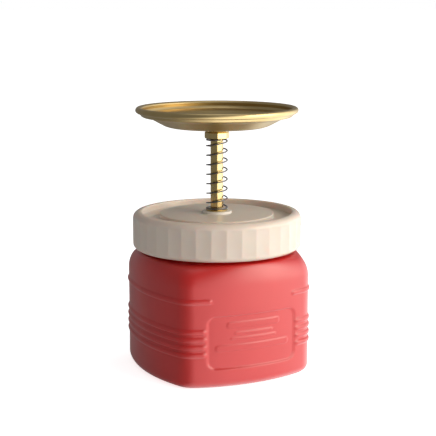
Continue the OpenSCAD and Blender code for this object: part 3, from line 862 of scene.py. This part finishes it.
# %% Guide bush
bush_low, bush_high, bush_half = size_of("guide_bush")
washer_low, washer_high, washer_half = size_of("bush_washer")
BUSH_RADIUS = 6.95 * MM
EDGE = 0.3 * MM
GUIDE_ACROSS = STEM_ACROSS + 0.14 * MM
bush = through_rings("turned_bush", [
    turned_ring(BUSH_RADIUS - EDGE, bush_low.z), turned_ring(BUSH_RADIUS, bush_low.z + EDGE),
    turned_ring(BUSH_RADIUS, washer_high.z),
    turned_ring(bush_half - EDGE, washer_high.z + 0.02 * MM),
    turned_ring(bush_half, washer_high.z + EDGE), turned_ring(bush_half, bush_high.z - EDGE),
    turned_ring(bush_half - EDGE, bush_high.z), bar_ring(GUIDE_ACROSS + 0.4 * MM, bush_high.z),
    bar_ring(GUIDE_ACROSS, bush_high.z - 0.2 * MM), bar_ring(GUIDE_ACROSS, bush_low.z)],
    drawn_brass)
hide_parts("guide_bush")
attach(bush, "cap_and_pump")
print("bush flange", round(2 * bush_half / MM, 1), "mm")

# %% [markdown]
# ## The white washer
# The washer is turned from nylon, which is matt and slightly uneven. The same kind of finish,
# with other colours and grains, later serves for rubber, pump plastic and leather.

# %% White washer
def moulding(name, colour, other, roughness, grain_mm, bump):
    """A soft or moulded material with a fine grain."""
    material, tree, shader, place = start_material(name)
    grain = add(tree, "ShaderNodeTexNoise",
                {"Vector": place, "Scale": 1 / (grain_mm * MM), "Detail": 4.0})
    tone = add(tree, "ShaderNodeMix",
               {"Factor": grain.outputs["Fac"], "A": srgb(colour), "B": srgb(other)},
               data_type="RGBA")
    rough = add(tree, "ShaderNodeBump",
                {"Height": grain.outputs["Fac"], "Strength": bump, "Distance": 0.1 * MM})
    tree.links.new(tone.outputs["Result"], shader.inputs["Base Color"])
    tree.links.new(rough.outputs["Normal"], shader.inputs["Normal"])
    shader.inputs["Roughness"].default_value = roughness
    shader.inputs["IOR"].default_value = 1.5
    return material


white_plastic = moulding("white_nylon", "#E4DED4", "#DAD3C8", 0.4, 1.5, 0.1)
WASHER_ROUND = 0.5 * MM
washer = spun("white_washer", [(BUSH_BORE, washer_low.z), (washer_half, washer_low.z)]
              + arc(washer_half - WASHER_ROUND, washer_high.z - WASHER_ROUND, WASHER_ROUND,
                    0, 90, 4)
              + [(BUSH_BORE, washer_high.z)], white_plastic)
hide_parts("bush_washer")
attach(washer, "cap_and_pump")
print("washer", round(2 * washer_half / MM, 1), "mm")

# %% [markdown]
# ## Steel wire
# The spring is hard-drawn carbon steel wire, oiled and dark, with drawing lines too fine to
# see. A slight unevenness in its gloss keeps it from looking like plastic. The valve balls,
# their pins and the strainer are stainless steel, which is paler and cleaner.

# %% Steel
def steel(name, colour, roughness):
    """Steel with a faint cloudy unevenness."""
    material, tree, shader, place = start_material(name)
    cloud = add(tree, "ShaderNodeTexNoise", {"Vector": place, "Scale": 1 / (3 * MM), "Detail": 3.0})
    gloss = add(tree, "ShaderNodeMapRange",
                {"Value": cloud.outputs["Fac"], "To Min": roughness - 0.1,
                 "To Max": roughness + 0.1})
    tree.links.new(gloss.outputs["Result"], shader.inputs["Roughness"])
    shader.inputs["Base Color"].default_value = srgb(colour)
    shader.inputs["Metallic"].default_value = 1.0
    return material


spring_steel = steel("oiled_spring_wire", "#6E6C70", 0.35)
stainless = steel("ground_stainless_steel", "#C9CACC", 0.3)
print("made", spring_steel.name, "and", stainless.name)

# %% [markdown]
# ## The return spring
# A coil follows a rule, so Geometry Nodes make it: a straight line is resampled, each point
# is wound round the axis, and a round wire is swept along it. The first and last turns lie
# closed on their seats, so the height climbs by one wire there and by the pitch between.

# %% Sizes of the spring
spring_low, spring_high, spring_half = size_of("return_spring")
WIRE = 1.0 * MM
COIL_PITCH = 6.9 * MM
CLOSED = 0.75
OPEN = (spring_high.z - spring_low.z - WIRE - 2 * CLOSED * WIRE) / COIL_PITCH
START_TURN = 69 / 360
COIL_POINTS = 340
WIRE_SIDES = 12
print("spring:", round(OPEN + 2 * CLOSED, 1), "turns of", round(WIRE / MM, 1), "mm wire")


# %% Spring tree
def spring_tree():
    """Geometry Nodes that wind a compression spring with closed ends."""
    tree = bpy.data.node_groups.new("compression_spring", "GeometryNodeTree")
    face = tree.interface
    face.new_socket("Geometry", in_out="OUTPUT", socket_type="NodeSocketGeometry")
    names = ("Coil radius", "Wire radius", "Foot", "Pitch", "Closed turns", "Open turns",
             "Start turn")
    ids = {n: face.new_socket(n, in_out="INPUT", socket_type="NodeSocketFloat").identifier
           for n in names}
    ids["Wire"] = face.new_socket("Wire", in_out="INPUT",
                                  socket_type="NodeSocketMaterial").identifier
    given = add(tree, "NodeGroupInput").outputs

    def calc(operation, *values):
        return add(tree, "ShaderNodeMath", dict(enumerate(values)), operation=operation).outputs[0]

    line = add(tree, "GeometryNodeCurvePrimitiveLine").outputs["Curve"]
    points = add(tree, "GeometryNodeResampleCurve",
                 {"Curve": line, "Count": COIL_POINTS}).outputs["Curve"]
    along = add(tree, "GeometryNodeSplineParameter").outputs["Factor"]
    both_ends = calc("MULTIPLY", given["Closed turns"], 2.0)
    turns = calc("ADD", both_ends, given["Open turns"])
    turn = calc("MULTIPLY", along, turns)
    angle = calc("MULTIPLY", calc("ADD", turn, given["Start turn"]), TURN)
    opened = calc("SUBTRACT", turn, given["Closed turns"])
    opened = calc("MINIMUM", calc("MAXIMUM", opened, 0.0), given["Open turns"])
    wire = calc("MULTIPLY", given["Wire radius"], 2.0)
    closed_climb = calc("MULTIPLY", calc("SUBTRACT", turn, opened), wire)
    climb = calc("ADD", calc("MULTIPLY", opened, given["Pitch"]), closed_climb)
    height = calc("ADD", calc("ADD", given["Foot"], given["Wire radius"]), climb)
    place = add(tree, "ShaderNodeCombineXYZ",
                {"X": calc("MULTIPLY", calc("COSINE", angle), given["Coil radius"]),
                 "Y": calc("MULTIPLY", calc("SINE", angle), given["Coil radius"]),
                 "Z": height}).outputs["Vector"]
    coil = add(tree, "GeometryNodeSetPosition",
               {"Geometry": points, "Position": place}).outputs["Geometry"]
    section = add(tree, "GeometryNodeCurvePrimitiveCircle",
                  {"Resolution": WIRE_SIDES, "Radius": given["Wire radius"]}).outputs["Curve"]
    swept = add(tree, "GeometryNodeCurveToMesh",
                {"Curve": coil, "Profile Curve": section, "Fill Caps": True}).outputs["Mesh"]
    shaded = add(tree, "GeometryNodeSetShadeSmooth", {"Geometry": swept}).outputs["Geometry"]
    real = add(tree, "GeometryNodeRealizeInstances", {"Geometry": shaded}).outputs["Geometry"]
    done = add(tree, "GeometryNodeSetMaterial",
               {"Geometry": real, "Material": given["Wire"]}).outputs["Geometry"]
    add(tree, "NodeGroupOutput", {"Geometry": done})
    return tree, ids


winding, ids = spring_tree()
print("spring tree with inputs", ", ".join(ids))


# %% The spring
def from_tree(name, tree, values):
    """Run a Geometry Nodes tree and keep its result as a plain mesh object."""
    holder = bpy.data.objects.new(name, bpy.data.meshes.new(name))
    bpy.context.scene.collection.objects.link(holder)
    nodes = holder.modifiers.new("nodes", "NODES")
    nodes.node_group = tree
    for identifier, value in values.items():
        nodes[identifier] = value
    bpy.context.view_layer.update()
    shaped = holder.evaluated_get(bpy.context.evaluated_depsgraph_get())
    made = bpy.data.meshes.new_from_object(shaped)
    holder.modifiers.remove(nodes)
    holder.data = made
    return holder


spring = from_tree("coil_spring", winding, {
    ids["Coil radius"]: spring_half - WIRE / 2, ids["Wire radius"]: WIRE / 2,
    ids["Foot"]: spring_low.z, ids["Pitch"]: COIL_PITCH, ids["Closed turns"]: CLOSED,
    ids["Open turns"]: OPEN, ids["Start turn"]: START_TURN, ids["Wire"]: spring_steel})
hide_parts("return_spring")
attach(spring, "cap_and_pump")
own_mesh(spring)
print("spring:", len(spring.data.polygons), "faces")

# %% [markdown]
# ## Pieces whose CAD shape is already right
# Gaskets, the pump's barrel, valves and the perforated screen keep their CAD meshes and get
# their real materials. Nitrile rubber is black and matt. The pump plastic is a brown satin
# moulding. The leather of the piston cup is oiled, with a coarse uneven grain.

# %% Rubber, pump plastic and leather
rubber = moulding("black_nitrile_rubber", "#1C1C1D", "#262525", 0.6, 0.8, 0.3)
pump_plastic = moulding("brown_pump_plastic", "#4A3626", "#54402E", 0.4, 1.5, 0.1)
leather = moulding("oiled_leather", "#6B4226", "#4E2F1B", 0.55, 0.6, 0.6)
CAD_FINISHES = {
    "cap_gasket": rubber, "barrel_gasket": rubber, "foot_gasket": rubber,
    "pump_barrel": pump_plastic, "foot_valve_body": pump_plastic, "dip_tube": white_plastic,
    "foot_valve_ball": stainless, "foot_valve_pin": stainless, "suction_strainer": stainless,
    "stem_ball": stainless, "stem_ball_pin": stainless, "piston_cup": leather,
    "piston_plate": drawn_brass, "piston_nut": drawn_brass, "screen_spacer": drawn_brass,
    "outlet_nut": drawn_brass, "perforated_screen": spun_brass,
}
for node, material in CAD_FINISHES.items():
    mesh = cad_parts[node].data
    mesh.materials.clear()
    mesh.materials.append(material)
print("finished", len(CAD_FINISHES), "CAD nodes")

# %% [markdown]
# ## Studio
# The can stands on a wide white floor. The floor glows a little for the camera alone, and
# mirror-like reflections leave it out, so it looks white without adding light to the can.

# %% The floor
STUDIO_RADIUS = 40.0
STUDIO_SIDES = 64
FLOOR_GLOW = 0.75
floor_points = [(STUDIO_RADIUS * math.cos(TURN * i / STUDIO_SIDES),
                 STUDIO_RADIUS * math.sin(TURN * i / STUDIO_SIDES), 0)
                for i in range(STUDIO_SIDES)]
pale = bpy.data.materials.new("pale_sweep")
pale.use_nodes = True
sweep = pale.node_tree
surface = sweep.nodes["Principled BSDF"]
surface.inputs["Base Color"].default_value = srgb("#FAFAFA")
surface.inputs["Roughness"].default_value = 0.9
surface.inputs["Emission Color"].default_value = srgb("#FFFFFF")
floor_seen = add(sweep, "ShaderNodeLightPath").outputs["Is Camera Ray"]
glow = add(sweep, "ShaderNodeMapRange", {"Value": floor_seen, "To Max": FLOOR_GLOW})
sweep.links.new(glow.outputs["Result"], surface.inputs["Emission Strength"])
floor = new_piece("floor", floor_points, [tuple(range(STUDIO_SIDES))], pale)
floor.visible_glossy = False
print("floor radius", STUDIO_RADIUS, "m")

# %% [markdown]
# ## Light
# A large, slightly warm soft box at the right front gives the broad sheen on the can's front,
# and a weak one overhead lifts the tops. The world adds the rest: it is brightest low at the
# right front and dim at the left and behind, so the left side stays dark. The camera itself
# sees the world as plain white.

# %% Soft boxes
LIGHT_AIM = Vector((0, 0, 0.1))


def soft_box(name, turn, height, distance, width, tall, power, colour="#FFFFFF"):
    """An area light that looks at the can from a direction round it and a height."""
    lamp = bpy.data.lights.new(name, "AREA")
    lamp.shape = "RECTANGLE"
    lamp.size, lamp.size_y = width, tall
    lamp.energy = power
    lamp.color = srgb(colour)[:3]
    box = bpy.data.objects.new(name, lamp)
    bpy.context.scene.collection.objects.link(box)
    angle = math.radians(turn)
    box.location = (math.sin(angle) * distance, -math.cos(angle) * distance, height)
    box.rotation_euler = (LIGHT_AIM - box.location).to_track_quat("-Z", "Y").to_euler()
    return box


key = soft_box("key_box", 40, 0.38, 1.0, 0.8, 0.9, 7.0, "#FFF2E0")
top = soft_box("top_box", 0, 1.3, 0.05, 0.8, 0.8, 1.5)
print("soft boxes of", key.data.energy, "and", top.data.energy, "W")

# %% The world
BRIGHT_SIDE = (0.8, -0.6, -0.6)
DIM_FROM, BRIGHT_FROM = -0.1, 0.85
DIM, BRIGHT = 0.24, 2.3
world = bpy.data.worlds.new("studio")
bpy.context.scene.world = world
world.use_nodes = True
sky = world.node_tree
backdrop = sky.nodes["Background"]
sky_seen = add(sky, "ShaderNodeLightPath").outputs["Is Camera Ray"]
direction = add(sky, "ShaderNodeTexCoord").outputs["Generated"]
side = add(sky, "ShaderNodeVectorMath", {0: direction, 1: BRIGHT_SIDE},
           operation="DOT_PRODUCT").outputs["Value"]
wall = add(sky, "ShaderNodeMapRange",
           {"Value": side, "From Min": DIM_FROM, "From Max": BRIGHT_FROM,
            "To Min": DIM, "To Max": BRIGHT}, interpolation_type="SMOOTHSTEP").outputs["Result"]
strength = add(sky, "ShaderNodeMix", {"Factor": sky_seen, "A": wall, "B": 1.0},
               data_type="FLOAT").outputs["Result"]
sky.links.new(strength, backdrop.inputs["Strength"])
backdrop.inputs["Color"].default_value = srgb("#FFFFFF")
bpy.context.scene.view_settings.view_transform = "Standard"
print("world from", DIM, "to", BRIGHT)
